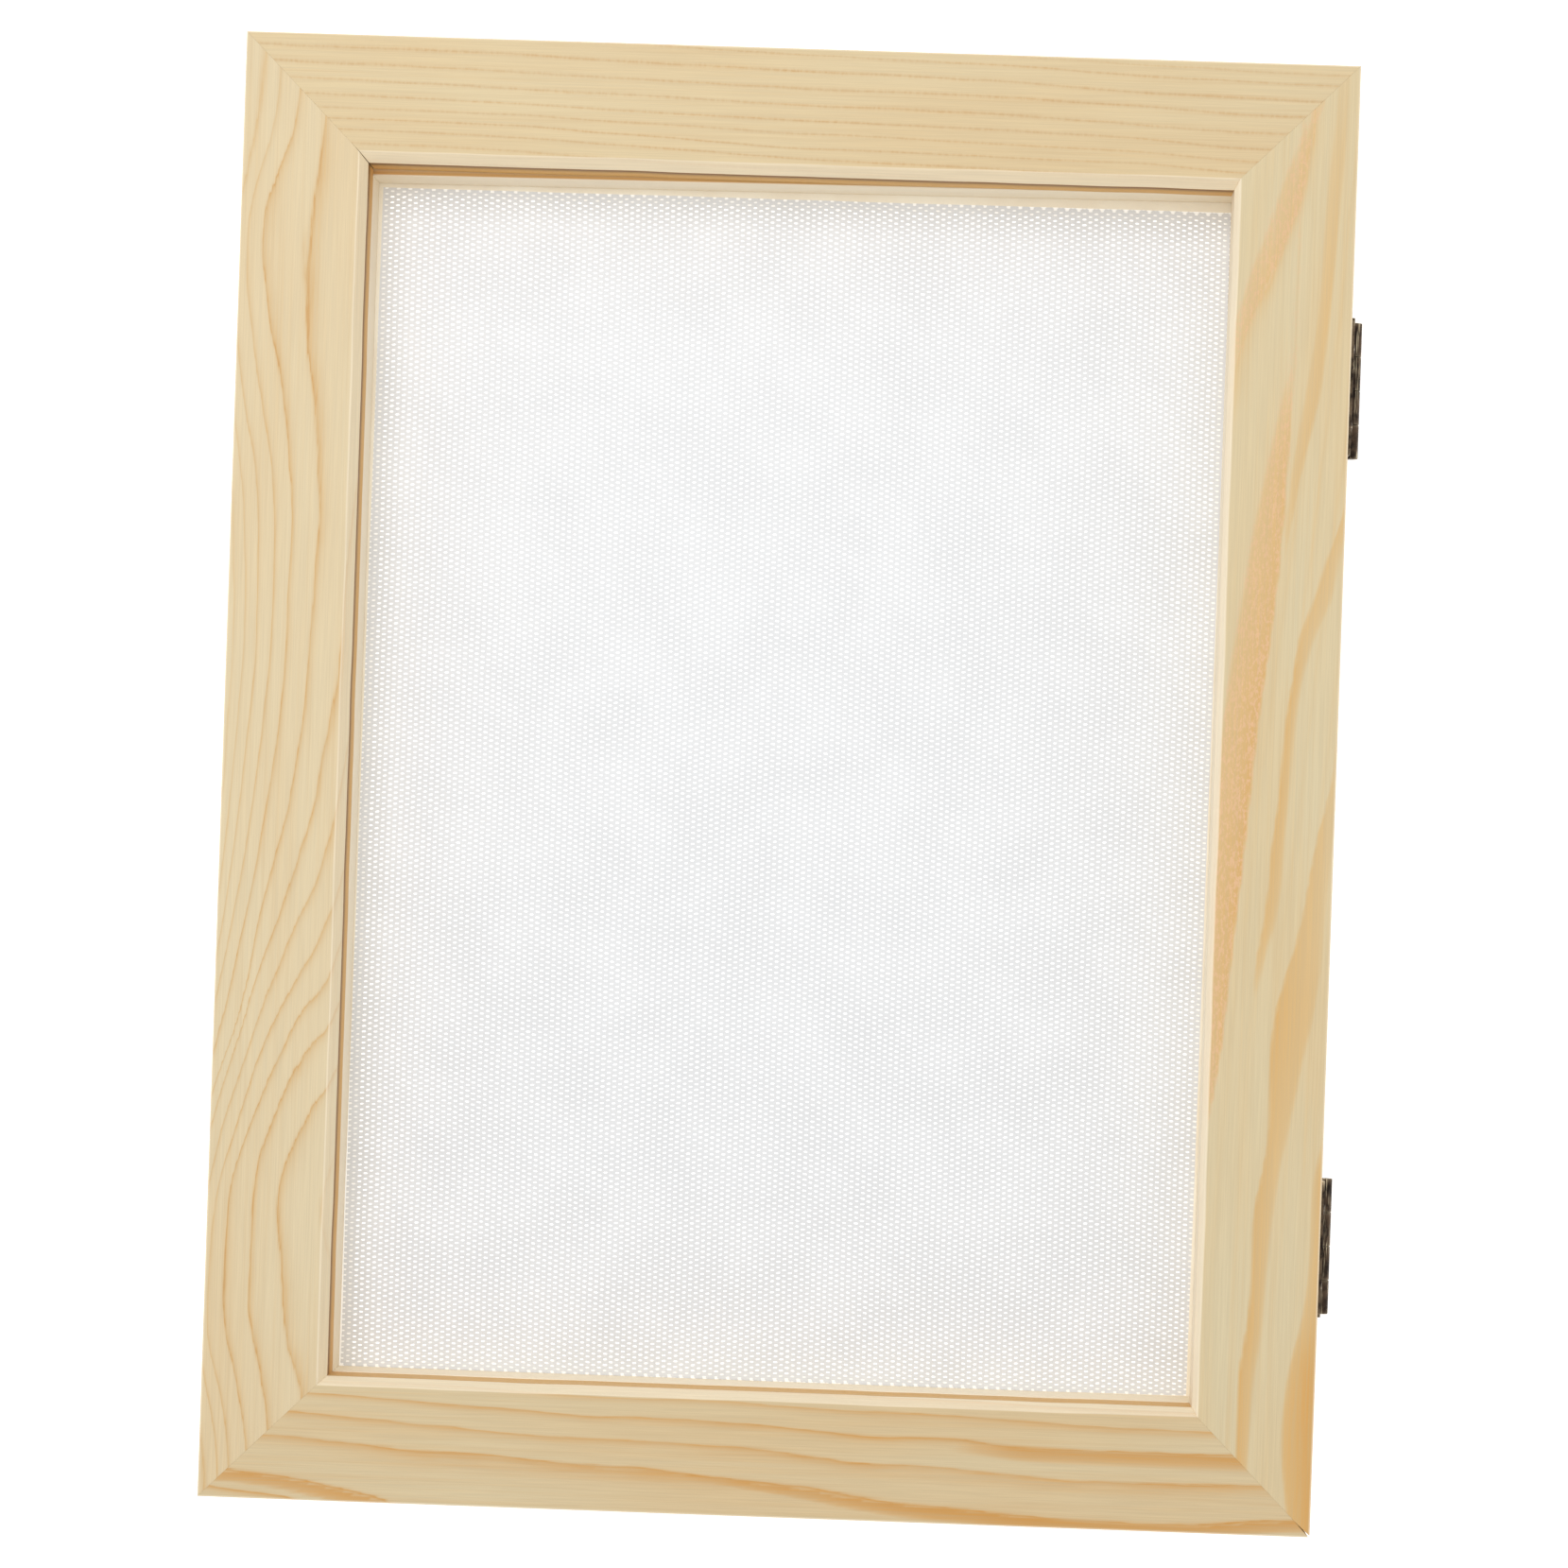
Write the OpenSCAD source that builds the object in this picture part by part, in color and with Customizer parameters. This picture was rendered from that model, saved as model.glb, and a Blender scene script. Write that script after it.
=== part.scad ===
// Hinged wooden screen printing frame: an open top frame that folds down over a screen frame
// with a stretched net. It lies flat on the XY plane, net side down, with its hinges at +X.

/* [Frames] */
// Outer width of both frames, across the hinge side
frame_w = 272; // [240:1:320]
// Outer length of both frames, along the hinge side
frame_l = 358.5; // [320:0.5:420]
// Thickness of the top frame
top_t = 11.5; // [9:0.5:16]
// Thickness of the screen frame
screen_t = 14.5; // [13:0.5:20]
// Gap between the closed frames
parting = 0.3; // [0.2:0.05:0.6]

/* [Top frame edge] */
// Width of the flat face of each top rail
face_w = 28.5; // [24:0.5:32]
// Depth of the chamfer along the inner edge
chamfer_d = 2.4; // [1:0.1:4]
// Width of the chamfer on the back rail
chamfer_back = 2.35; // [1:0.05:3]
// Width of the chamfer on the front rail
chamfer_front = 1.9; // [1:0.05:3]
// Width of the chamfer on the left rail
chamfer_left = 2.05; // [1:0.05:3]
// Width of the chamfer on the hinge rail
chamfer_hinge = 1.2; // [1:0.05:3]

/* [Screen frame edge] */
// Width of the front and left rails
rail_w = 30.5; // [28:0.1:33]
// Width of the hinge rail
hinge_rail_w = 28.9; // [28:0.1:33]
// How much wider the back rail is at its left end, where it was cut out of square
back_skew = 1.9; // [0:0.1:2.5]

/* [Net] */
// Thickness of the net
net_t = 0.3; // [0.2:0.05:0.5]
// Thickness of the battens that hold the net in its rebate
batten_t = 2.9; // [2:0.1:4]
// How far the net and its rebate reach under the rails
rebate_w = 9; // [7:0.5:12]
// How far the battens stand in from the rails all round
batten_lip = 1.2; // [0.5:0.1:2]
// How far the battens sit toward the front and the hinges
batten_shift = 0.5; // [0:0.1:0.6]

/* [Hinges] */
// Length of a hinge
hinge_l = 33.3; // [30:0.1:40]
// Distance of the back hinge's middle from the back edge
hinge_back_inset = 77.8; // [60:0.1:100]
// Distance of the front hinge's middle from the front edge
hinge_front_inset = 70.2; // [60:0.1:100]
// Width of one leaf, from the pin to its free edge
leaf_w = 10; // [8:0.5:10.5]
// Thickness of a leaf
leaf_t = 0.8; // [0.6:0.1:1]
// Outer diameter of a knuckle
knuckle_od = 3.4; // [3:0.1:3.6]
// Diameter of the pin
pin_d = 1.6; // [1.4:0.1:1.8]
// Distance of the screws from the middle of the hinge
screw_offset = 9.5; // [7:0.5:12]

/* [Hidden] */
$fn = 48;

eps = 0.01;
// How far a cutting shape runs past the surface that it cuts
over = 1;
pine = "#e6c998";
pine_deep = "#dcb67f";
steel = "#a9acb0";
net_white = "#f2f2ee";
bronze = "#5b4630";

BACK = 0; FRONT = 1; LEFT = 2; HINGE = 3;

// Heights, from the surface that the frame lies on
net_z = batten_t;
rebate_d = batten_t + net_t;
axis_z = screen_t + parting / 2;
top_z = screen_t + parting;

// The hinge barrels stand proud of the side face, and the origin is under the middle of the whole
barrel_gap = 0.15;
axis_out = knuckle_od / 2 + barrel_gap;
side_reach = axis_out + knuckle_od / 2;
axis_x = frame_w / 2 + axis_out;
hinge_ys = [frame_l / 2 - hinge_back_inset, -frame_l / 2 + hinge_front_inset];

// Corners go round from back left: back left, back right, front right, front left
function corners(back_left, back_right, front, left, hinge) = [
  [-frame_w / 2 + left, frame_l / 2 - back_left],
  [frame_w / 2 - hinge, frame_l / 2 - back_right],
  [frame_w / 2 - hinge, -frame_l / 2 + front],
  [-frame_w / 2 + left, -frame_l / 2 + front]
];
outer = corners(0, 0, 0, 0, 0);
face_in = corners(face_w, face_w, face_w, face_w, face_w);
lip = corners(face_w + chamfer_back, face_w + chamfer_back, face_w + chamfer_front,
              face_w + chamfer_left, face_w + chamfer_hinge);
screen_in = corners(rail_w + back_skew, rail_w, rail_w, rail_w, hinge_rail_w);
rebate_out = [for (i = [0:3]) screen_in[i] + rebate_w * outward(i)];
batten_in = [for (i = [0:3]) screen_in[i] - batten_lip * outward(i) + batten_shift * [1, -1]];
batten_clear = 0.1;
batten_out = [for (i = [0:3]) rebate_out[i] - batten_clear * outward(i)];

function outward(i) = [[-1, 1], [1, 1], [1, -1], [-1, -1]][i];
// The two corners at the ends of a side, going round the frame the same way
function ends(side) = [[0, 1], [2, 3], [3, 0], [1, 2]][side];

// Plan of one side of a mitred frame, through rings of corners from the outside to the inside
module side_plan(side, rings) {
  a = ends(side)[0];
  b = ends(side)[1];
  polygon(concat([for (r = rings) r[a]], [for (k = [len(rings) - 1:-1:0]) rings[k][b]]));
}

// The frame's own middle is half the barrels' reach from the middle of the whole
module centred() {
  translate([-side_reach / 2, 0, 0]) children();
}

/* ---- Rails ---- */

// Everything above the chamfer's slope on one side, as a wedge along the whole rail
module chamfer_cut(side) {
  w = [chamfer_back, chamfer_front, chamfer_left, chamfer_hinge][side];
  edge = face_w + w;
  half = (side == BACK || side == FRONT ? frame_l : frame_w) / 2;
  turn = [0, 180, 90, -90][side];
  rotate([0, 0, turn])
    translate([-frame_l, half, 0])
      rotate([90, 0, 90])
        linear_extrude(2 * frame_l)
          polygon([[-face_w, top_z + top_t], [-edge, top_z + top_t - chamfer_d],
                   [-edge - over, top_z + top_t - chamfer_d], [-edge - over, top_z + top_t + over],
                   [-face_w, top_z + top_t + over]]);
}

module top_rail(side) {
  color(pine) difference() {
    translate([0, 0, top_z]) linear_extrude(top_t) side_plan(side, [outer, face_in, lip]);
    chamfer_cut(side);
    top_nail_shapes(nail_clear);
    if (side == HINGE) for (y = hinge_ys) upper_screw_shapes(y, hole_clear);
  }
}

module screen_rail(side) {
  color(pine_deep) difference() {
    linear_extrude(screen_t) side_plan(side, [outer, screen_in]);
    translate([0, 0, -over]) linear_extrude(rebate_d + over) polygon(rebate_out);
    screen_nail_shapes(nail_clear);
    brad_shapes(hole_clear);
    if (side == HINGE) for (y = hinge_ys) lower_screw_shapes(y, hole_clear);
  }
}

/* ---- V-nails across the mitres ---- */

nail_h = 7;
nail_leg = 6;
nail_t = 0.5;
nail_clear = 0.05;
nail_inset = 13;

// One V-shaped nail, opening toward the outer corner, its point on the mitre
module v_nail(clear) {
  grow = nail_t / 2 + clear;
  translate([0, 0, -clear]) linear_extrude(nail_h + 2 * clear) {
    for (s = [-1, 1]) rotate(s * 45)
      translate([-grow, -grow]) square([nail_leg + 2 * grow, 2 * grow]);
  }
}

module corner_nails(clear) {
  for (i = [0:3])
    translate([outward(i)[0] * (frame_w / 2 - nail_inset), outward(i)[1] * (frame_l / 2 - nail_inset), 0])
      rotate(atan2(outward(i)[1], outward(i)[0])) v_nail(clear);
}

module top_nail_shapes(clear) {
  translate([0, 0, top_z]) corner_nails(clear);
}

module screen_nail_shapes(clear) {
  corner_nails(clear);
}

/* ---- Net, battens and brads ---- */

brad_d = 1.2;
brad_l = 9;
brad_head_d = 2.4;
brad_head_t = 0.6;
hole_clear = 0.03;
brads_long = 5;
brads_short = 4;
// Distance of the brads from the rails' inner edges
brad_line = 4.5;
// How far the end brads stand in from the ends of the rebate
brad_end = 14;

function brad_xs() = [for (k = [0:brads_short - 1])
  -frame_w / 2 + rail_w + brad_end + k * (frame_w - 2 * rail_w - 2 * brad_end) / (brads_short - 1)];
function brad_ys() = [for (k = [0:brads_long - 1])
  -frame_l / 2 + rail_w + brad_end + k * (frame_l - 2 * rail_w - 2 * brad_end) / (brads_long - 1)];

module brad(clear) {
  translate([0, 0, -clear]) cylinder(d = brad_head_d + 2 * clear, h = brad_head_t + 2 * clear);
  cylinder(d = brad_d + 2 * clear, h = brad_l + clear);
}

module brad_shapes(clear) {
  for (x = brad_xs()) {
    translate([x, frame_l / 2 - rail_w - back_skew / 2 + brad_line, 0]) brad(clear);
    translate([x, -frame_l / 2 + rail_w - brad_line, 0]) brad(clear);
  }
  for (y = brad_ys()) {
    translate([-frame_w / 2 + rail_w - brad_line, y, 0]) brad(clear);
    translate([frame_w / 2 - hinge_rail_w + brad_line, y, 0]) brad(clear);
  }
}

module screen_mesh() {
  color(net_white) difference() {
    translate([0, 0, net_z]) linear_extrude(net_t) polygon(batten_out);
    brad_shapes(hole_clear);
  }
}

module batten(side) {
  color(pine) difference() {
    linear_extrude(batten_t) side_plan(side, [batten_out, batten_in]);
    brad_shapes(hole_clear);
  }
}

module batten_brads() {
  color(steel) brad_shapes(0);
}

/* ---- Hinges ---- */

knuckles = 4;
knuckle_gap = 0.3;
knuckle_l = (hinge_l - (knuckles - 1) * knuckle_gap) / knuckles;
pin_run = 0.05;
pin_press = 0.01;
knuckle_clear = 0.3;
screw_d = 2;
screw_l = 9;
screw_head_d = 4;
screw_head_h = 1.1;
screw_dome_h = 0.55;
// Height of the screws above or below the pin
screw_rise = 6;
slot_w = 0.6;
slot_d = 0.5;
slot_l = screw_d + 0.4;
// The dome is a small part of a large ball, so that ball is cut fine
ball_facets = 256;

// Where knuckle k starts, measured along the hinge from its front end
function knuckle_y(k) = -hinge_l / 2 + k * (knuckle_l + knuckle_gap);

// A leaf as it lies on the side face, with its plate going up from the pin, pin along Y at the origin
module leaf(first, bore_r) {
  keep_off = sqrt(pow(knuckle_od / 2 + knuckle_clear, 2) - pow(axis_out - leaf_t, 2));
  difference() {
    union() {
      translate([-axis_out, -hinge_l / 2, keep_off])
        cube([leaf_t, hinge_l, leaf_w - keep_off]);
      for (k = [first:2:knuckles - 1]) translate([0, knuckle_y(k), 0]) {
        translate([-axis_out, 0, 0]) cube([leaf_t, knuckle_l, keep_off + eps]);
        rotate([-90, 0, 0]) cylinder(d = knuckle_od, h = knuckle_l);
      }
    }
    translate([0, -hinge_l / 2 - over, 0]) rotate([-90, 0, 0]) cylinder(r = bore_r, h = hinge_l + 2 * over);
    for (s = [-1, 1]) translate([-axis_out, s * screw_offset, screw_rise]) leaf_screw(hole_clear);
  }
}

// A raised countersunk wood screw, going into the wood along -X from the side face
module leaf_screw(clear) {
  r = screw_head_d / 2 + clear;
  rotate([0, 90, 0]) {
    translate([0, 0, -screw_l - clear]) cylinder(d = screw_d + 2 * clear, h = screw_l + leaf_t);
    translate([0, 0, leaf_t - screw_head_h])
      cylinder(r1 = screw_d / 2 + clear, r2 = r, h = screw_head_h);
    if (clear > 0) translate([0, 0, leaf_t - eps]) cylinder(r = r, h = screw_dome_h + over);
    else screw_dome(r);
  }
}

// The domed top of a screw head, part of a ball, with a cross cut in it
module screw_dome(r) {
  ball = (r * r + screw_dome_h * screw_dome_h) / (2 * screw_dome_h);
  difference() {
    translate([0, 0, leaf_t - ball + screw_dome_h]) rotate_extrude()
      intersection() {
        circle(ball, $fn = ball_facets);
        translate([0, ball - screw_dome_h]) square([r, screw_dome_h]);
      }
    for (a = [0, 90]) rotate(a)
      translate([-slot_l / 2, -slot_w / 2, leaf_t + screw_dome_h - slot_d])
        cube([slot_l, slot_w, slot_d + over]);
  }
}

module at_pin(y) {
  translate([axis_x, y, axis_z]) children();
}

module upper_screw_shapes(y, clear) {
  at_pin(y) for (s = [-1, 1]) translate([-axis_out, s * screw_offset, screw_rise]) leaf_screw(clear);
}

module lower_screw_shapes(y, clear) {
  at_pin(y) for (s = [-1, 1]) translate([-axis_out, s * screw_offset, -screw_rise]) leaf_screw(clear);
}

module upper_leaf(y) {
  color(bronze) at_pin(y) leaf(1, pin_d / 2 + pin_run);
}

module lower_leaf(y) {
  color(bronze) at_pin(y) mirror([0, 0, 1]) leaf(0, pin_d / 2 + pin_press);
}

module hinge_pin(y) {
  color(bronze) at_pin(y) translate([0, -hinge_l / 2, 0])
    rotate([-90, 0, 0]) cylinder(d = pin_d, h = hinge_l);
}

module hinge_screws(y, upper) {
  color(bronze) if (upper) upper_screw_shapes(y, 0); else lower_screw_shapes(y, 0);
}

/* ---- Assembly ---- */

centred() top_rail(BACK);  // top_frame_back_rail
centred() top_rail(FRONT);  // top_frame_front_rail
centred() top_rail(LEFT);  // top_frame_left_rail
centred() top_rail(HINGE);  // top_frame_hinge_rail
centred() color(steel) top_nail_shapes(0);  // top_frame_v_nails
centred() screen_rail(BACK);  // screen_frame_back_rail
centred() screen_rail(FRONT);  // screen_frame_front_rail
centred() screen_rail(LEFT);  // screen_frame_left_rail
centred() screen_rail(HINGE);  // screen_frame_hinge_rail
centred() color(steel) screen_nail_shapes(0);  // screen_frame_v_nails
centred() screen_mesh();
centred() batten(BACK);  // batten_back
centred() batten(FRONT);  // batten_front
centred() batten(LEFT);  // batten_left
centred() batten(HINGE);  // batten_hinge
centred() batten_brads();
centred() upper_leaf(hinge_ys[0]);  // back_hinge_upper_leaf
centred() lower_leaf(hinge_ys[0]);  // back_hinge_lower_leaf
centred() hinge_pin(hinge_ys[0]);  // back_hinge_pin
centred() hinge_screws(hinge_ys[0], true);  // back_hinge_upper_screws
centred() hinge_screws(hinge_ys[0], false);  // back_hinge_lower_screws
centred() upper_leaf(hinge_ys[1]);  // front_hinge_upper_leaf
centred() lower_leaf(hinge_ys[1]);  // front_hinge_lower_leaf
centred() hinge_pin(hinge_ys[1]);  // front_hinge_pin
centred() hinge_screws(hinge_ys[1], true);  // front_hinge_upper_screws
centred() hinge_screws(hinge_ys[1], false);  // front_hinge_lower_screws
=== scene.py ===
"""Looks of the hinged wooden screen printing frame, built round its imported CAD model.

Sizes are in millimetres in the row frame unless a name says otherwise. MM turns them into metres.
"""

import math

import bmesh
import bpy
import numpy as np
from mathutils import Matrix, Vector


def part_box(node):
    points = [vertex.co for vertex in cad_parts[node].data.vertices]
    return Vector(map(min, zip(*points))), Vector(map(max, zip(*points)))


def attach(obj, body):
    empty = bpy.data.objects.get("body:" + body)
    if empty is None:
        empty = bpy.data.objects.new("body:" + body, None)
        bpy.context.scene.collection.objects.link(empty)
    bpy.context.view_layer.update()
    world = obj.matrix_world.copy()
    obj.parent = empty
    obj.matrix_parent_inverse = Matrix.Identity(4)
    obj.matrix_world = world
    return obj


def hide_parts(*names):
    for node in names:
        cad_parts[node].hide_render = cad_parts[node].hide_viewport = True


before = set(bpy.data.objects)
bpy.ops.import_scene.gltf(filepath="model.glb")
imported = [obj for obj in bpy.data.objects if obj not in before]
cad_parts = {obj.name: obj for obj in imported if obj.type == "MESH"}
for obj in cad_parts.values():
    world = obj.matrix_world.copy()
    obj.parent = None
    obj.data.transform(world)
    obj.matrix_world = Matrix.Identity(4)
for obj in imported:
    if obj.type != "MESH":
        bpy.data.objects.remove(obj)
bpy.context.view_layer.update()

MM = 0.001
BACK_LEFT, BACK_HINGE, FRONT_HINGE, FRONT_LEFT = range(4)
# The corners at the two ends of each side, in the order that its grain is measured along it
ENDS = {
    "back": (BACK_LEFT, BACK_HINGE),
    "front": (FRONT_LEFT, FRONT_HINGE),
    "left": (BACK_LEFT, FRONT_LEFT),
    "hinge": (BACK_HINGE, FRONT_HINGE),
}


# ---- Sizes, from the CAD nodes ----


def box_mm(node):
    """Lowest and highest corner of a CAD node, in millimetres."""
    low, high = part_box(node)
    return np.array(low) / MM, np.array(high) / MM


def inner_reach(prefix, suffix=""):
    """How far a frame's back, front, left and hinge members reach in, as a ring of four corners."""
    back = box_mm(f"{prefix}back{suffix}")[0][1]
    front = box_mm(f"{prefix}front{suffix}")[1][1]
    left = box_mm(f"{prefix}left{suffix}")[1][0]
    hinge = box_mm(f"{prefix}hinge{suffix}")[0][0]
    return np.array([(left, back), (hinge, back), (hinge, front), (left, front)])


def nearest_corner(node, point):
    """The corner of a CAD node's upper face nearest to a point in plan."""
    points = np.array([tuple(v.co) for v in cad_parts[node].data.vertices]) / MM
    points = points[points[:, 2] > points[:, 2].max() - 0.01, :2]
    return points[np.argmin(np.linalg.norm(points - point, axis=1))]


def true_corners(name, guesses):
    """The back and front members' corners nearest to a ring of four guesses. {} in name is the side."""
    sides = ("back", "back", "front", "front")
    return np.array([nearest_corner(name.format(side), guess) for side, guess in zip(sides, guesses)])


low, high = box_mm("top_frame_left_rail")
TOP_UNDER, TOP_FACE = low[2], high[2]
WEST, NORTH, SOUTH = low[0], high[1], low[1]
EAST = box_mm("top_frame_hinge_rail")[1][0]
SCREEN_FACE = box_mm("screen_frame_left_rail")[1][2]
net_low, net_high = box_mm("screen_mesh")
NET_UNDER, NET_FACE = net_low[2], net_high[2]

# Width of the flat face of each top rail, and how far the chamfer beside it falls
FACE_WIDTH = 28.5
CHAMFER_DEPTH = 2.4
OUTWARD = np.array([(-1, 1), (1, 1), (1, -1), (-1, -1)])
# The undersides of the wood stand this little above the heads of the nails, so that the steel shows
NAIL_PROUD = 0.05

OUTER = np.array([(WEST, NORTH), (EAST, NORTH), (EAST, SOUTH), (WEST, SOUTH)])
FACE_EDGE = OUTER - FACE_WIDTH * OUTWARD
LIP = inner_reach("top_frame_", "_rail")
SCREEN_INNER = true_corners("screen_frame_{}_rail", inner_reach("screen_frame_", "_rail"))
NET_EDGE = np.array(
    [
        (net_low[0], net_high[1]),
        (net_high[0], net_high[1]),
        (net_high[0], net_low[1]),
        (net_low[0], net_low[1]),
    ]
)
BATTEN_OUTER = true_corners("batten_{}", NET_EDGE)
BATTEN_INNER = inner_reach("batten_")
REBATE_WIDTH = float(np.linalg.norm((BATTEN_OUTER - SCREEN_INNER)[FRONT_HINGE])) / math.sqrt(2)


# ---- Growth rings, drawn on each rail ----
# Each line is where one ring's dark latewood meets the face: (along, inward, strength) at a few points.
# along runs from the back end of the left and hinge rails, and from the left end of the others.

LEFT_LINES = [
    [(0, -14, 0.3), (90, -3, 0.4), (115, 0.7, 0.4), (140, 1.7, 0.4), (170, 1.2, 0.4), (185, 0.7, 0.4),
     (290, -17, 0.4), (358, -29, 0.4)],
    [(0, -8, 0.3), (80, -2.5, 0.4), (97, 0.7, 0.5), (112, 2.9, 0.6), (135, 4.2, 0.6), (150, 4.4, 0.6),
     (175, 3.1, 0.6), (210, 0.7, 0.6), (290, -14, 0.5), (358, -25, 0.5)],
    [(5, 5.2, 0.5), (20, 4.2, 0.6), (30, 2.5, 0.6), (46, -1, 0.6), (60, -1.5, 0.6), (76, 0.3, 0.7),
     (90, 2.6, 0.7), (105, 5.6, 0.8), (120, 7.2, 0.8), (155, 7.3, 0.8), (185, 5, 0.7), (207, 2.9, 0.7),
     (225, 0.7, 0.6), (290, -11, 0.5), (358, -21, 0.5)],
    [(11, 8.7, 0.5), (20, 7.9, 0.5), (30, 5.9, 0.5), (40, 3.1, 0.6), (48, 1.8, 0.6), (62, 1.8, 0.6),
     (80, 4.8, 0.7), (100, 8.7, 0.8), (110, 10.3, 0.8), (120, 10.9, 0.8), (150, 11.2, 0.8),
     (180, 9, 0.8), (205, 5.9, 0.7), (232, 1.2, 0.7), (245, -1, 0.6), (290, -9, 0.5), (358, -17, 0.5)],
    [(14, 13.9, 0.8), (22, 13.1, 0.9), (28, 11.4, 0.9), (33, 8.9, 1), (40, 6.7, 1), (52, 5.2, 1),
     (57, 5.7, 1), (62, 7, 1), (70, 7.9, 1), (85, 11.1, 1), (95, 12.9, 1), (112, 14.8, 0.9),
     (122, 15.3, 0.9), (150, 14.8, 0.9), (165, 14, 0.9), (180, 12.2, 0.9), (205, 9.2, 0.9),
     (222, 5.9, 0.9), (238, 2.8, 0.9), (248, 0.4, 0.8), (290, -7.5, 0.6), (358, -13, 0.5)],
    [(22, 20.3, 0.9), (35, 19.4, 1), (42, 17.6, 1), (48, 16.2, 1), (57, 15.9, 1), (62, 16.8, 1),
     (75, 17.6, 1), (85, 19.2, 1), (97, 20.3, 0.9), (120, 21.8, 0.9), (140, 20.7, 0.9),
     (165, 19.8, 0.9), (180, 18.1, 0.9), (190, 16.4, 0.9), (200, 14.2, 0.9), (215, 10.8, 0.9),
     (235, 7.8, 0.9), (245, 5.2, 0.9), (258, 0.5, 0.8), (290, -5.5, 0.6), (320, -8, 0.5),
     (358, -9, 0.5)],
    [(90, 36, 0.5), (134, 28.4, 0.7), (150, 28.1, 0.8), (160, 27, 0.9), (180, 24, 0.9),
     (190, 22.8, 0.9), (205, 18.7, 0.9), (215, 15.6, 0.9), (239, 7.6, 0.9), (266, 0.5, 0.8),
     (290, -4, 0.6), (320, -4.5, 0.5), (341, 0, 0.6), (350, 1.7, 0.8), (358, 2, 0.8)],
    [(160, 36, 0.6), (190, 28.3, 0.8), (203, 25.6, 0.8), (209, 23.7, 0.8), (219, 18.9, 0.8),
     (231, 14.5, 0.8), (250, 8.4, 0.8), (266, 3.3, 0.8), (290, -1.2, 0.7), (315, -1.5, 0.7),
     (329, 0.6, 0.7), (341, 3.9, 0.8), (352, 5, 0.8)],
    [(195, 36, 0.6), (215, 27.8, 0.8), (223, 24.9, 0.8), (239, 15.7, 0.9), (252, 11, 0.9),
     (266, 7, 0.9), (280, 3, 0.7), (290, 1.5, 0.5), (310, 0.8, 0.5), (320, 1.2, 0.6), (333, 5, 0.8),
     (341, 6.5, 0.8), (352, 7.6, 0.8)],
    [(215, 36, 0.6), (230, 28, 0.8), (236, 24.5, 0.9), (239, 21.2, 0.9), (252, 15.3, 0.9),
     (266, 10.6, 1), (280, 5.8, 1), (297, 4.8, 1), (307, 4.5, 1), (313, 4.8, 1), (320, 6.1, 1),
     (335, 10, 0.9), (346, 11.9, 0.9)],
    [(232, 36, 0.6), (243, 28, 0.9), (247, 23.5, 0.9), (255, 19.1, 1), (266, 15.2, 1), (273, 12.8, 1),
     (280, 11.6, 1), (287, 11, 1), (312, 11.2, 1), (318, 12.2, 1), (327, 14, 1), (335, 16, 1),
     (341, 16.8, 0.9)],
    [(250, 36, 0.6), (258, 28.3, 0.9), (260, 25.6, 1), (266, 23.4, 1), (272, 20.4, 1), (280, 18, 1),
     (285, 17, 1), (292, 17.3, 1), (312, 19.5, 1), (320, 21, 0.9), (327, 23.4, 0.9), (332, 24.9, 0.9)],
    [(270, 36, 0.2), (281, 29, 0.4), (287, 27.6, 0.5), (293, 29, 0.4), (305, 36, 0.2)],
]

HINGE_LINES = [
    [(0, 4, 0.2), (60, 8, 0.2), (119, 13, 0.2), (184, 19, 0.1), (235, 23.5, 0.1), (300, 26, 0.1)],
    [(5, 11, 0.3), (15, 11, 0.5), (30, 12.3, 0.6), (40, 15.3, 0.6), (50, 19.4, 0.6), (60, 24, 0.6),
     (70, 27.3, 0.5), (100, 34, 0.2), (180, 38, 0.2)],
    [(0, 18, 0), (60, 30, 0), (358, 60, 0)],
]

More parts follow.
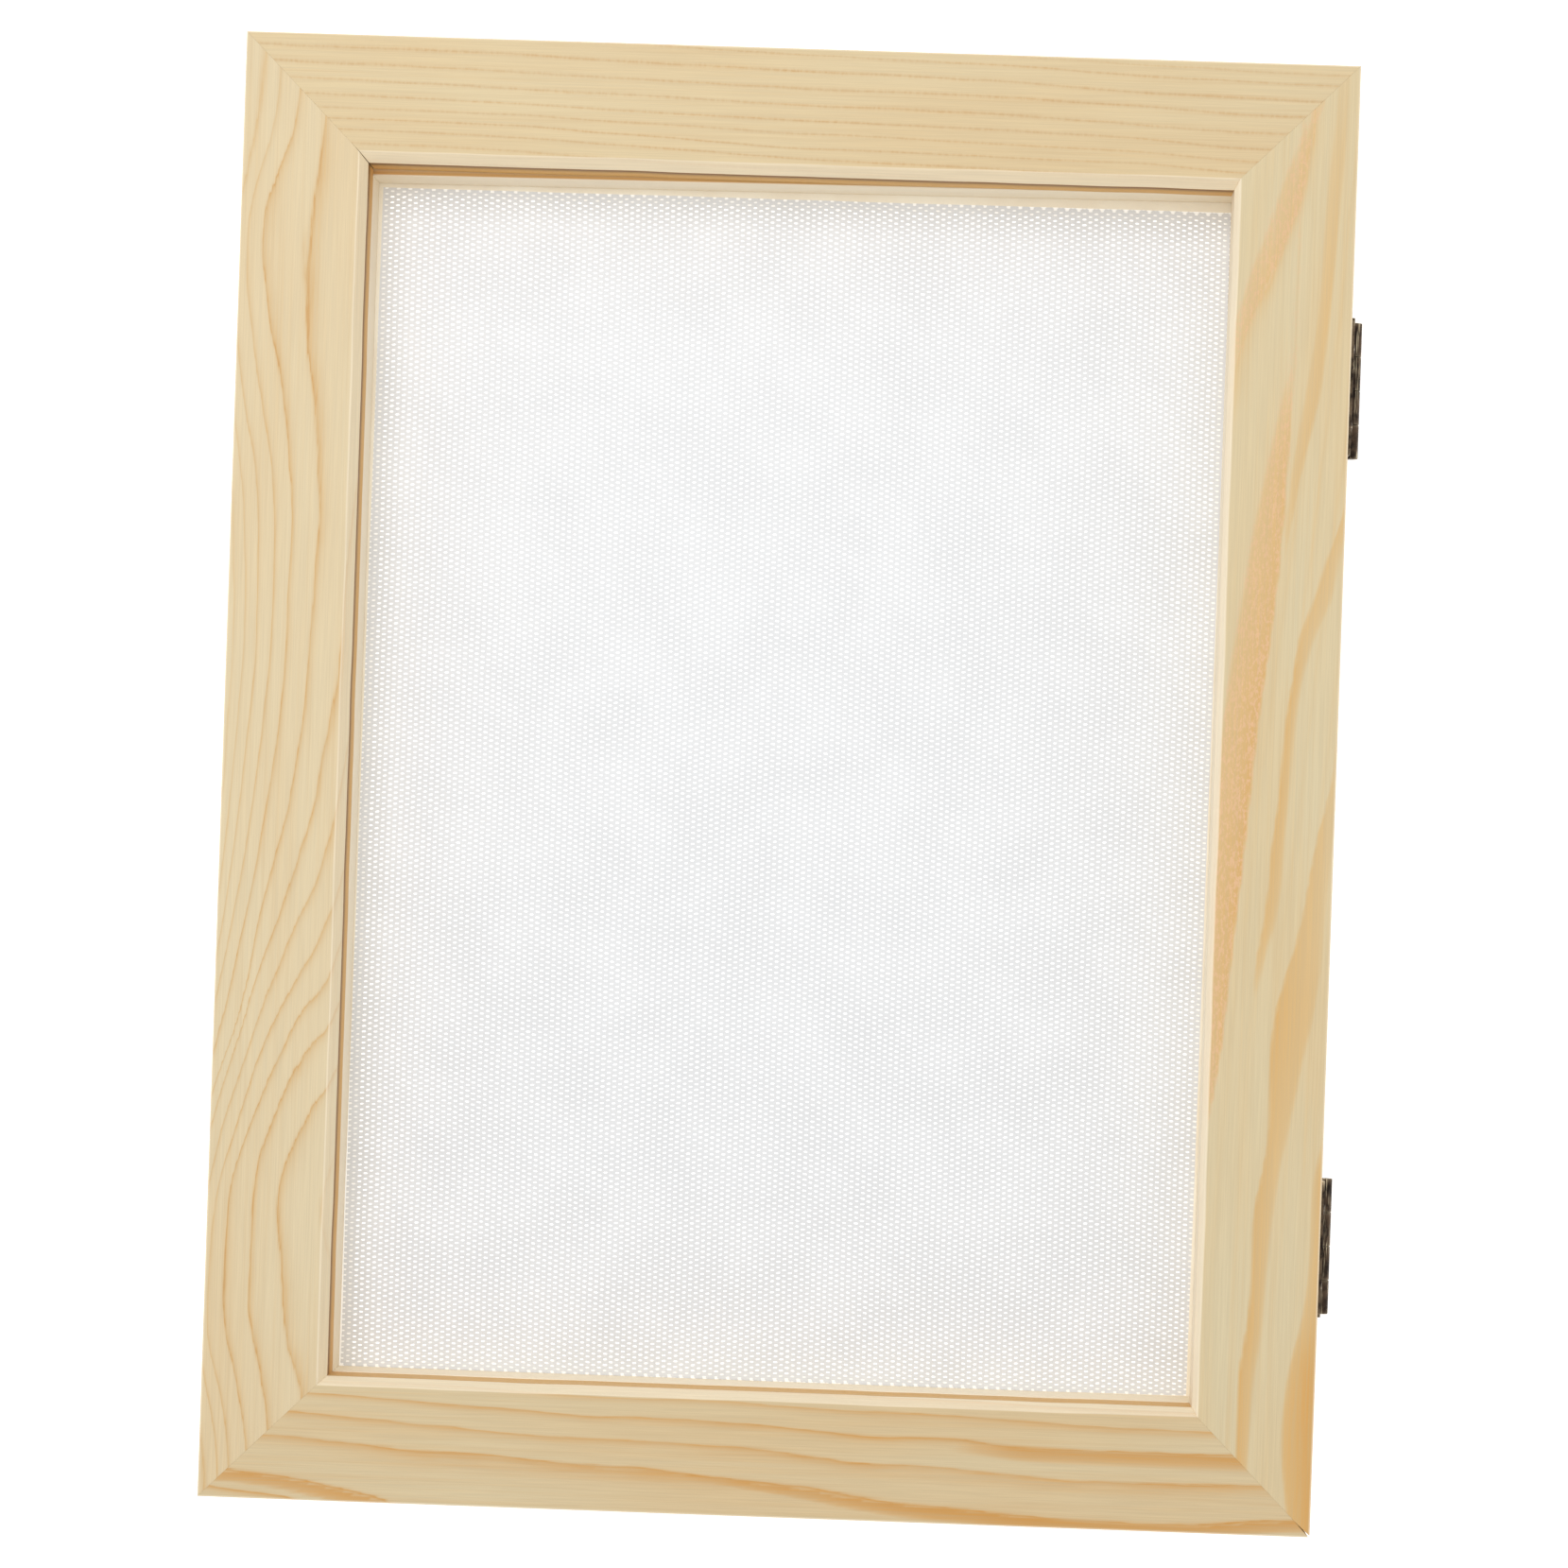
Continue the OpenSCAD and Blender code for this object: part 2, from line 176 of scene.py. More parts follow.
# Broad stripes where a rail's face runs along a growth ring. Each has how soft its near and far edges are,
# then (along, near, far, strength) at a few points, then whether it is flecked. near and far count inward.
HINGE_STRIPES = [
    ((1.5, 1.5), [(4, 2.6, 5.6, 0.35), (20, 3, 6.6, 0.5), (40, 4, 8, 0.55), (60, 5.3, 8.5, 0.6),
                  (80, 7, 11, 0.6), (100, 11, 14, 0.6), (115, 13.2, 15, 0.5),
                  (130, 14.8, 15.8, 0)], False),
    ((0.7, 2), [(8, 7.5, 10.5, 0.3), (15, 11, 13.5, 0.5), (20, 11.4, 15, 0.6), (30, 12.4, 18.5, 0.6),
                (40, 15.2, 21.5, 0.6), (50, 19, 25, 0.6), (60, 23.4, 28, 0.55), (70, 26.6, 31, 0.5),
                (80, 30, 34, 0.3)], True),
    ((0.7, 2), [(70, 13.2, 14.5, 0.3), (80, 13.6, 16.5, 0.5), (100, 14.4, 20, 0.7),
                (120, 15.4, 23.5, 0.7), (140, 17, 26, 0.75), (160, 19.3, 28.2, 0.8),
                (180, 20.8, 30, 0.8), (200, 22.3, 31, 0.8), (220, 24, 31, 0.75), (240, 25.5, 31, 0.7),
                (252, 27, 31, 0.6), (262, 29, 32, 0.2)], True),
    ((2, 0.8), [(104, -2, -0.5, 0.5), (110, -1.5, 0.8, 0.6), (120, 0.7, 4.4, 0.6), (130, 2, 7, 0.6),
                (140, 6.6, 10.7, 0.65), (150, 9.2, 11.6, 0.8), (160, 10.3, 13, 0.75),
                (180, 11.2, 14, 0.75), (190, 12, 15.3, 0.75), (200, 12.2, 15.7, 0.7),
                (210, 13.5, 16.6, 0.7), (220, 16, 18.4, 0.6), (234, 18, 19, 0)], False),
    ((2, 0.8), [(160, -1.5, 0.3, 0.3), (175, -1, 1.4, 0.5), (190, 0, 4.8, 0.6), (210, 1.2, 7.5, 0.6),
                (220, 1.6, 10.3, 0.65), (230, 3, 13, 0.75), (240, 5, 13.9, 0.75), (260, 8.5, 13.5, 0.7),
                (270, 10.3, 14.8, 0.7), (280, 11.6, 16.8, 0.75), (300, 13, 16.6, 0.75),
                (310, 13.5, 17.5, 0.8), (320, 14.8, 19, 0.8), (345, 15.7, 18.7, 0.8)], False),
    ((1, 1.5), [(262, -2, 0.6, 0.5), (270, -2, 2.4, 0.9), (280, -2, 2.6, 0.8), (290, -2, 2.6, 0.8),
                (300, -2, 3.2, 0.8), (310, -2, 4.8, 0.9), (315, -2, 6.4, 1), (330, -2, 8, 1),
                (340, -2, 7.8, 1), (358, -2, 5.5, 1)], False),
]

BACK_LINES = [
    [(0, -6, 0.3), (160, 0, 0.3), (221, 1.5, 0.5), (262, 2.6, 0.5)],
    [(0, -2.4, 0.4), (90, 0, 0.7), (130, 1.6, 0.8), (185, 2.6, 0.7), (221, 4, 0.7), (262, 5, 0.7)],
    [(0, 2.8, 0.7), (70, 4.1, 0.8), (130, 5.5, 0.8), (185, 6.5, 0.7), (221, 8.3, 0.8), (262, 9.1, 0.7)],
    [(0, 6.7, 0.8), (70, 8.3, 0.6), (130, 9.6, 0.7), (185, 10.6, 0.8), (221, 11.8, 0.7),
     (242, 12.9, 0.7)],
    [(0, 10.8, 0.6), (70, 12.2, 0.8), (130, 13.8, 0.7), (185, 14.6, 0.8), (221, 16.4, 0.7),
     (242, 17.1, 0.7)],
    [(0, 14.8, 0.8), (70, 15.8, 0.7), (130, 17.7, 0.9), (185, 18.5, 0.8), (221, 19.6, 0.7),
     (242, 21.3, 0.8)],
    [(0, 17.9, 0.5), (70, 18.6, 0.7), (130, 20.6, 0.7), (185, 21.9, 0.7), (221, 22.8, 0.6),
     (242, 24.2, 0.7)],
    [(0, 20.3, 0.8), (70, 21.2, 0.9), (130, 24.2, 0.9), (185, 25, 0.8), (221, 25.6, 0.7),
     (242, 27, 0.8)],
    [(0, 22.8, 0.7), (70, 23.9, 0.8), (130, 26.7, 0.9), (185, 27.7, 0.8), (221, 29, 0.6),
     (272, 31, 0.5)],
    [(0, 26, 0.6), (70, 27.4, 0.6), (110, 29.5, 0.5), (272, 36, 0.3)],
]

FRONT_LINES = [
    [(0, 8.5, 0.8), (7, 6.9, 0.9), (20, 5.9, 1), (30, 4.1, 1), (40, 2.3, 1), (48, 0, 0.9),
     (60, -3, 0.8)],
    [(17, 16.1, 0.8), (40, 14.3, 0.9), (60, 13.1, 0.9), (80, 12, 0.9), (100, 10.8, 0.9), (120, 10.1, 1),
     (136, 8.6, 1), (150, 7.5, 1), (158, 5.8, 1), (175, 4.4, 1), (190, 3.7, 1), (205, 2.3, 1),
     (215, 1.8, 1), (245, 1.9, 1), (255, 3, 1), (268, 4.1, 1)],
    [(24, 21.6, 0.8), (60, 19.3, 0.8), (80, 18, 0.8), (100, 17.7, 0.7), (136, 16.4, 0.8),
     (150, 15.3, 0.9), (165, 13.8, 0.9), (180, 13.6, 0.8), (195, 12.6, 0.8), (210, 11.6, 0.8),
     (245, 11.3, 0.9), (259, 12.3, 0.8)],
    [(27, 26.4, 0.8), (60, 24.6, 0.9), (85, 24.1, 0.9), (97, 23, 0.9), (106, 23.4, 0.9),
     (136, 22.8, 0.9), (150, 21.9, 0.9), (165, 20.6, 1), (178, 20.8, 0.9), (190, 20.4, 1),
     (200, 19.6, 1), (225, 19.2, 1), (252, 19.1, 1)],
    [(60, 30, 0.4), (90, 28.1, 0.6), (136, 27.8, 0.7), (160, 27, 0.8), (185, 26.3, 0.8),
     (220, 25.2, 0.8), (247, 25, 0.8)],
]

FRONT_STRIPES = [
    ((1, 0.5), [(4, 3.6, 6.4, 0.8), (7, 4.1, 6.9, 0.9), (20, 2.7, 5.9, 0.9), (30, 0.6, 4.1, 0.9),
                (40, -1.5, 2.3, 0.9), (48, -3, 0, 0.7)], False),
    ((1.5, 0.5), [(17, 14.4, 16.1, 0.5), (60, 11.5, 13.1, 0.6), (80, 10.2, 12, 0.7),
                  (100, 9, 10.8, 0.8), (120, 8.1, 10.1, 0.8), (136, 6.3, 8.6, 0.9),
                  (150, 4.5, 7.5, 0.9), (158, 3, 5.8, 0.9), (175, 1, 4.4, 1), (190, 0.2, 3.7, 1),
                  (205, -1.5, 2.3, 1), (245, -1.5, 1.9, 0.9), (255, 0, 3, 0.9),
                  (268, 1.2, 4.1, 0.9)], False),
    ((2.5, 0.5), [(176, 18, 20.7, 0), (190, 16.8, 20.4, 0.6), (200, 15.9, 19.6, 0.9),
                  (252, 15.6, 19.1, 0.9)], False),
]

# Growth rings never come closer than this. Past the drawn ones there are a few more, this far apart.
LINE_GAP = 1.2
EXTRA_RINGS = 4
EXTRA_SPACING = 5.0
# Places along a rail where its lines are worked out, and how many of them the smoothing spans
GRID = np.arange(-20.0, 380.0, 2.0)
SMOOTH_STEPS = 7


def followed(points, column, along):
    """One column of a drawn line with its corners rounded off, at distances along the rail."""
    values = np.interp(GRID, [p[0] for p in points], [p[column] for p in points])
    weights = np.hanning(SMOOTH_STEPS + 2)[1:-1]
    padded = np.pad(values, SMOOTH_STEPS // 2, mode="edge")
    return np.interp(along, GRID, np.convolve(padded, weights / weights.sum(), mode="valid"))


def ring_field(lines, along, inward):
    """Ring number and latewood strength at points on a rail's face. The number is whole on each line."""
    places = [followed(line, 1, along) for line in lines]
    strengths = [followed(line, 2, along) for line in lines]
    for k in range(1, len(places)):
        places[k] = np.maximum(places[k], places[k - 1] + LINE_GAP)
    for _ in range(EXTRA_RINGS):
        places.append(places[-1] + EXTRA_SPACING)
        strengths.append(strengths[-1])
        places.insert(0, places[0] - EXTRA_SPACING)
        strengths.insert(0, strengths[0])
    places = np.array(places)
    strengths = np.array(strengths)
    index = np.clip((places <= inward).sum(axis=0) - 1, 0, len(places) - 2)
    every = np.arange(len(inward))
    below, above = places[index, every], places[index + 1, every]
    part = np.clip((inward - below) / (above - below), 0, 1)
    late = strengths[index, every] * (1 - part) + strengths[index + 1, every] * part
    return index + part, late


def eased(distance, reach):
    """0 well below a distance of 0, 1 well above it, and a smooth rise as long as reach between."""
    t = np.clip(distance / reach + 0.5, 0, 1)
    return t * t * (3 - 2 * t)


def stripe_field(stripes, along, inward):
    """Strength of the broad stripes, and of the flecked ones alone, at points on a rail's face."""
    broad = np.zeros_like(inward)
    flecked = np.zeros_like(inward)
    for softness, points, with_flecks in stripes:
        near, far, strength = [followed(points, column, along) for column in (1, 2, 3)]
        across = (inward - near) / (far - near)
        denser_edge = across if softness[0] > softness[1] else 1 - across
        here = strength * eased(inward - near, softness[0]) * eased(far - inward, softness[1])
        here *= 0.65 + 0.35 * np.clip(denser_edge, 0, 1)
        broad = np.maximum(broad, here)
        if with_flecks:
            flecked = np.maximum(flecked, here)
    return broad, flecked


# ---- Node materials ----


def rgb(red, green, blue):
    """Linear colour from the usual 0 to 255 screen values."""
    def linear(value):
        value /= 255
        return value / 12.92 if value <= 0.04045 else ((value + 0.055) / 1.055) ** 2.4

    return (linear(red), linear(green), linear(blue), 1.0)


class Shader:
    """One node material, with a short call for each kind of node that the materials below use."""

    def __init__(self, name):
        self.material = bpy.data.materials.new(name)
        self.material.use_nodes = True
        self.nodes = self.material.node_tree.nodes
        self.links = self.material.node_tree.links
        self.surface = self.nodes["Principled BSDF"]

    def feed(self, socket, value):
        if isinstance(value, bpy.types.NodeSocket):
            self.links.new(value, socket)
        else:
            socket.default_value = value

    def attribute(self, name, output="Fac"):
        node = self.nodes.new("ShaderNodeAttribute")
        node.attribute_name = name
        return node.outputs[output]

    def math(self, operation, *values, clamp=False):
        node = self.nodes.new("ShaderNodeMath")
        node.operation = operation
        node.use_clamp = clamp
        for socket, value in zip(node.inputs, values):
            self.feed(socket, value)
        return node.outputs[0]

    def scaled(self, vector, factors):
        node = self.nodes.new("ShaderNodeVectorMath")
        node.operation = "MULTIPLY"
        self.feed(node.inputs[0], vector)
        node.inputs[1].default_value = factors
        return node.outputs[0]

    def noise(self, vector, detail=2.0, roughness=0.5):
        node = self.nodes.new("ShaderNodeTexNoise")
        self.feed(node.inputs["Vector"], vector)
        node.inputs["Scale"].default_value = 1.0
        node.inputs["Detail"].default_value = detail
        node.inputs["Roughness"].default_value = roughness
        return node.outputs["Fac"]

    def ramp(self, value, low, high, start=0.0, end=1.0):
        """value from low to high, mapped smoothly to start to end and held there beyond."""
        node = self.nodes.new("ShaderNodeMapRange")
        node.interpolation_type = "SMOOTHSTEP"
        for socket, number in zip(node.inputs, (value, low, high, start, end)):
            self.feed(socket, number)
        return node.outputs[0]

    def mix(self, factor, first, second, blend="MIX"):
        node = self.nodes.new("ShaderNodeMix")
        node.data_type = "RGBA"
        node.blend_type = blend
        node.clamp_factor = True
        self.feed(node.inputs[0], factor)
        self.feed(node.inputs[6], first)
        self.feed(node.inputs[7], second)
        return node.outputs[2]

    def grey(self, value):
        """A grey of this brightness."""
        node = self.nodes.new("ShaderNodeCombineColor")
        for socket in node.inputs[:3]:
            self.feed(socket, value)
        return node.outputs[0]

    def bump(self, height, distance, strength=1.0):
        node = self.nodes.new("ShaderNodeBump")
        node.inputs["Strength"].default_value = strength
        node.inputs["Distance"].default_value = distance
        self.feed(node.inputs["Height"], height)
        return node.outputs["Normal"]

    def set(self, **inputs):
        """Sets the surface shader's sockets. Underscores stand for the spaces in their names."""
        for name, value in inputs.items():
            self.feed(self.surface.inputs[name.replace("_", " ")], value)


FLECK_COLOUR = rgb(230, 186, 148)
# Palest earlywood, a little cooler than the rest
COOL_WOOD = rgb(208, 204, 176)
# Colour of the painted highlight on rounded edges, chamfers, lips and the screen frame's inner edge
HIGHLIGHT_COLOUR = rgb(250, 236, 210)
# Painted shade: the golden shaded colour of the gap under the top frame's lip, and the dark shade just
# below the lip
GAP_SHADE_COLOUR = rgb(214, 160, 76)
LIP_SHADE = rgb(84, 40, 10)


def pine(name, pale, late, rust, tail_in, tail_out, seed, beads=0.0):
    """Planed pine, from its palest wood to the dark and the rusty wood of its growth rings.

    tail_in and tail_out say how quickly a ring's dark line fades on its inner and outer side, and beads
    how far it breaks up along the grain.
    """
    s = Shader(name)
    place = s.nodes.new("ShaderNodeVectorMath")
    place.operation = "ADD"
    s.feed(place.inputs[0], s.attribute("grain", "Vector"))
    place.inputs[1].default_value = (seed * 400.0, seed * 37.0, seed * 11.0)
    grain = place.outputs[0]

    wander = s.math("MULTIPLY_ADD", s.noise(s.scaled(grain, (0.03, 0.16, 0.16)), detail=3), 0.34, -0.17)
    ragged = s.math("MULTIPLY_ADD", s.noise(s.scaled(grain, (0.12, 2.6, 2.6)), detail=2), 0.12, -0.06)
    number = s.math("ADD", s.math("ADD", s.attribute("ring"), wander), ragged)
    part = s.math("FRACT", number)
    inner = s.math("POWER", s.math("SUBTRACT", 1.0, part), tail_in)
    outer = s.math("POWER", part, tail_out)
    line = s.math("MAXIMUM", inner, outer)
    strength = s.math("MULTIPLY", line, s.attribute("late"))

    fibre = s.noise(s.scaled(grain, (0.05, 3.2, 3.2)), detail=3, roughness=0.6)
    streak = s.noise(s.scaled(grain, (0.012, 0.7, 0.7)), detail=4, roughness=0.6)
    cloud = s.noise(s.scaled(grain, (0.008, 0.05, 0.05)), detail=2)
    strength = s.math("MULTIPLY", strength, s.ramp(fibre, 0.2, 0.75, 0.7, 1.1))
    broken = s.noise(s.scaled(grain, (1.1, 0.4, 0.4)), detail=2, roughness=0.6)
    strength = s.math("MULTIPLY", strength, s.ramp(broken, 0.35, 0.65, 1.0 - beads, 1.0))
    strength = s.math("ADD", strength, s.ramp(streak, 0.45, 0.8, 0.0, 0.2), clamp=True)
    stripe = s.math("ADD", s.attribute("stripe"), s.ramp(streak, 0.3, 0.7, -0.15, 0.12))
    depth = s.ramp(s.attribute("stripe"), 0.0, 1.2, 0.15, 1.1)
    stripe = s.math("MULTIPLY", s.ramp(stripe, 0.0, 0.45), depth)
    stripe = s.math("MULTIPLY", stripe, s.ramp(fibre, 0.25, 0.7, 0.85, 1.1))
    strength = s.math("MAXIMUM", strength, stripe)

    colour = s.mix(s.ramp(cloud, 0.3, 0.7), s.mix(0.12, pale, COOL_WOOD), s.mix(0.14, pale, late))
    colour = s.mix(strength, colour, late)
    colour = s.mix(s.ramp(strength, 0.7, 1.1, 0.0, 0.55), colour, rust)

    flecks = s.noise(s.scaled(grain, (0.8, 1.8, 1.8)), detail=3, roughness=0.7)
    flecked = s.math("MULTIPLY", s.ramp(flecks, 0.45, 0.62), s.attribute("fleck"))
    colour = s.mix(s.math("MULTIPLY", flecked, 0.95), colour, FLECK_COLOUR)
    # Painted highlight on rounded edges, chamfers and lips
    colour = s.mix(s.math("MULTIPLY", s.attribute("edge_highlight"), 0.6), colour, HIGHLIGHT_COLOUR)
    # Painted shade in the gap under the top frame's lip: golden, and darkest just below the lip
    gap_shade = s.attribute("gap_shade")
    colour = s.mix(s.math("MINIMUM", gap_shade, 0.85), colour, GAP_SHADE_COLOUR)
    colour = s.mix(s.math("SUBTRACT", gap_shade, 1.0, clamp=True), colour, LIP_SHADE)
    fine = s.ramp(fibre, 0.25, 0.75, 0.945, 1.055)
    colour = s.mix(1.0, colour, s.grey(fine), "MULTIPLY")

    relief = s.math("ADD", s.math("MULTIPLY", fibre, 0.5), s.math("MULTIPLY", strength, 0.25))
    s.set(
        Base_Color=colour,
        Roughness=s.ramp(fibre, 0.2, 0.8, 0.5, 0.68),
        Normal=s.bump(relief, 0.00012, 0.6),
        Specular_IOR_Level=0.35,
    )
    return s.material


def bronze():
    """Antique bronze plating, dark in the hollows and rubbed to brass on the edges, which also take a
    painted highlight.

    Where the attribute barrel is 1 it has pale streaks of painted highlight too.
    """
    s = Shader("antique_bronze")
    place = s.nodes.new("ShaderNodeTexCoord").outputs["Object"]
    blotch = s.noise(s.scaled(place, (300.0, 300.0, 300.0)), detail=4, roughness=0.6)
    streaks = s.noise(s.scaled(place, (2600.0, 90.0, 2600.0)), detail=3, roughness=0.6)
    edge = s.ramp(s.nodes.new("ShaderNodeNewGeometry").outputs["Pointiness"], 0.53, 0.62)
    wear_and_highlight = s.math("MULTIPLY", edge, s.ramp(blotch, 0.35, 0.6))
    # Painted highlight: pale glints streaked along the barrels, added to the rubbed edges
    glints = s.math("MULTIPLY", s.ramp(streaks, 0.54, 0.66, 0.0, 0.8), s.attribute("barrel"))
    wear_and_highlight = s.math("ADD", wear_and_highlight, glints, clamp=True)
    colour = s.mix(s.ramp(blotch, 0.35, 0.65), rgb(42, 33, 27), rgb(92, 74, 58))
    colour = s.mix(wear_and_highlight, colour, rgb(240, 222, 186))
    s.set(
        Base_Color=colour,
        Metallic=0.85,
        Roughness=s.ramp(wear_and_highlight, 0.0, 0.7, 0.55, 0.3),
        Normal=s.bump(streaks, 0.0001, 0.15),
    )
    return s.material


def steel():
    """Bright steel of the nails."""
    s = Shader("nail_steel")
    place = s.nodes.new("ShaderNodeTexCoord").outputs["Object"]
    spots = s.noise(s.scaled(place, (700.0, 700.0, 700.0)), detail=4)
    s.set(
        Base_Color=s.mix(s.ramp(spots, 0.35, 0.7), rgb(188, 190, 192), rgb(146, 147, 150)),
        Metallic=1.0,
        Roughness=s.ramp(spots, 0.3, 0.7, 0.3, 0.45),
    )
    return s.material


# Painted glow of the net, standing in for the light that the floor sends up through the translucent
# polyester
NET_GLOW = 0.05
# and more painted glow on the film of dried glue below its edges, so that the holes over it show no shade
FILM_GLOW = 0.2


def net_plastic():
    """White polyester of the net, cream where it is glued down, and a white film of glue along its edges,
    all with a painted glow.

    The attribute margin is 0 on the net, 1 on the plain margin and 2 on the film.
    """
    s = Shader("net_polyester")
    place = s.nodes.new("ShaderNodeTexCoord").outputs["Object"]
    cloud = s.noise(s.scaled(place, (60.0, 60.0, 60.0)), detail=3)
    fine = s.noise(s.scaled(place, (1500.0, 1500.0, 1500.0)), detail=2)
    strand = s.mix(s.ramp(cloud, 0.3, 0.7), rgb(217, 218, 219), rgb(222, 223, 224))
    margin = s.mix(s.ramp(cloud, 0.3, 0.7), rgb(240, 228, 204), rgb(248, 240, 220))
    film = s.math("SUBTRACT", s.attribute("margin"), 1.0, clamp=True)
    colour = s.mix(s.attribute("margin"), strand, margin)
    s.set(
        Base_Color=s.mix(film, colour, rgb(250, 248, 242)),
        Roughness=0.45,
        Normal=s.bump(fine, 0.0001, 0.4),
        # Painted glow, strongest on the film of glue
        Emission_Color=(1.0, 1.0, 1.0, 1.0),
        Emission_Strength=s.ramp(film, 0.0, 1.0, NET_GLOW, FILM_GLOW),
    )
    return s.material


FLOOR_GLOW = 0.6


def paper_white():
    """The pale floor, lit a little from inside so that it stays white round the object."""
    s = Shader("studio_floor")
    s.set(
        Base_Color=(0.94, 0.94, 0.94, 1.0),
        Roughness=0.9,
        Emission_Color=(1.0, 1.0, 1.0, 1.0),
        Emission_Strength=FLOOR_GLOW,
    )
    return s.material


# ---- Meshes ----


def new_mesh(name, points_mm, faces, material, body):
    """A mesh piece that rides on a body, with its points given in millimetres."""
    mesh = bpy.data.meshes.new(name)
    mesh.from_pydata((np.asarray(points_mm) * MM).tolist(), [], faces)
    mesh.materials.append(material)
    piece = bpy.data.objects.new(name, mesh)
    bpy.context.scene.collection.objects.link(piece)
    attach(piece, body)
    return piece


def drop_loose(shape):
    """Removes the points that no face uses."""
    bmesh.ops.delete(shape, geom=[v for v in shape.verts if not v.link_faces], context="VERTS")


def face_outward(piece):
    """Makes all of a mesh's faces agree on which way is out, and shades it smooth."""
    shape = bmesh.new()
    shape.from_mesh(piece.data)
    drop_loose(shape)
    bmesh.ops.recalc_face_normals(shape, faces=shape.faces)
    for face in shape.faces:
        face.smooth = True
    shape.to_mesh(piece.data)
    shape.free()


def face_up(piece):
    """Turns all of a flat mesh's faces upward."""
    shape = bmesh.new()
    shape.from_mesh(piece.data)
    drop_loose(shape)
    for face in shape.faces:
        if face.normal.z < 0:
            face.normal_flip()
    shape.to_mesh(piece.data)
    shape.free()


def set_numbers(piece, name, values):
    """Stores one number, or one vector, at each vertex for the material to read."""
    values = np.asarray(values, dtype=float)
    kind = "FLOAT" if values.ndim == 1 else "FLOAT_VECTOR"
    layer = piece.data.attributes.new(name, kind, "POINT")
    layer.data.foreach_set("value" if values.ndim == 1 else "vector", values.ravel())


def keep_flat(piece):
    """Keeps the wide faces flat in the shading, so that only the rounded edges turn the light."""
    piece.modifiers.new("flat_faces", "WEIGHTED_NORMAL").weight = 100


def bevel(piece, name, width_mm, degrees):
    """Rounds the edges that turn by more than this many degrees."""
    edge = piece.modifiers.new(name, "BEVEL")
    edge.width = width_mm * MM
    edge.segments = 2
    edge.limit_method = "ANGLE"
    edge.angle_limit = math.radians(degrees)


# ---- Mitred bars ----

# How finely a rounded corner is divided
ARC_STEPS = 3
# Painted highlight: how much of the highlight colour each side's chamfer takes, and the edge of its lip
CHAMFER_HIGHLIGHT = {"back": 0.8, "front": 0.9, "left": 0.45, "hinge": 1.3}
LIP_HIGHLIGHT = 1.6
# Painted shade on the sawn wall by depth below the lip: 1 is the plain shaded wall, and 2 the darkest
# shade just under the lip
SHADE_DEPTHS = [0, 1.6, 5]
SHADE_LEVELS = [2.0, 1.75, 1.0]
# The most painted shade that each side takes
SIDE_SHADE = {"back": 2.0, "front": 0.7, "left": 2.0, "hinge": 0.0}
# How much painted highlight the screen frame takes along its inner edge, and how far it takes to fade
INNER_EDGE_HIGHLIGHT = 1.4
EDGE_FADE = 1.6
# Steps across and along a bar, and the bevel of its ends
FACE_STEP = 0.8
STATION_STEP = 2.6
END_BEVEL = 0.03
# Half the width of a closed mitre
HAIR = 0.005
# Growth rings slant this far inward for each millimetre below the face
RING_SLANT = 0.8
# The unevenness of a top rail's inner edge starts this far out from the end of its flat face
UNEVEN_REACH = 2
# A point this near the lip's plane is on the sawn wall, and one this near is on the lip's rounded edge
WALL_REACH = 0.05
LIP_REACH = 1


def rounded(corners):
    """A closed section as rows of (inward, height, arris), from corners of (inward, height, radius)."""
    rows = []
    for i, (inward, height, radius) in enumerate(corners):
        here = np.array((inward, height))
        if not radius:
            rows.append((inward, height, 0.0))
            continue
        before = np.array(corners[i - 1][:2]) - here
        after = np.array(corners[(i + 1) % len(corners)][:2]) - here
        before /= np.linalg.norm(before)
        after /= np.linalg.norm(after)
        reach = radius / math.tan(math.acos(np.clip(before @ after, -1, 1)) / 2)
        for k in range(ARC_STEPS + 1):
            t = k / ARC_STEPS
            point = here + reach * ((1 - t) ** 2 * before + t**2 * after)
            rows.append((*point, math.sin(math.pi * t)))
    return rows


def divided(rows, step):
    """The same closed section with points added along its long stretches."""
    out = []
    for i, row in enumerate(rows):
        row = np.array(row)
        following = np.array(rows[(i + 1) % len(rows)])
        count = max(1, round(np.linalg.norm(following[:2] - row[:2]) / step))
        for k in range(count):
            middle = row + (following - row) * k / count
            if k:
                middle[2] = 0.0
            out.append(middle)
    return np.array(out)


def outward_normals(section):
    """Unit normals of a closed section, pointing out of it."""
    ahead = np.roll(section[:, :2], -1, axis=0) - np.roll(section[:, :2], 1, axis=0)
    normals = np.stack([ahead[:, 1], -ahead[:, 0]], axis=1)
    normals /= np.maximum(np.linalg.norm(normals, axis=1, keepdims=True), 1e-9)
    x, y = section[:, 0], section[:, 1]
    turn = np.sum(x * np.roll(y, -1) - np.roll(x, -1) * y)
    return normals if turn > 0 else -normals


def reach_in(side, corners):
    """How far a ring of corners stands in from the outer edge on one side, on average."""
    axis = 1 if side in ("back", "front") else 0
    ends = list(ENDS[side])
    return float(np.mean(np.abs(corners[ends, axis] - OUTER[ends, axis])))


def wobble(along, seed):
    """A slow unevenness of about a tenth of a millimetre, as left by a hand plane."""
    return (
        0.07 * np.sin(along / 23 + seed)
        + 0.05 * np.sin(along / 9.1 + 2.3 * seed)
        + 0.03 * np.sin(along / 4.3 + 4.1 * seed)
    )


def shut(corner, inward):
    """A closed mitre, with only a hair between its two ends so that they don't share a plane."""
    return np.full_like(inward, HAIR)


def plain_tints(side, section):
    """How much painted highlight and painted shade a bar takes at each point of its section: only the
    painted highlight, on its rounded edges.
    """
    return section[:, 2], np.zeros(len(section))


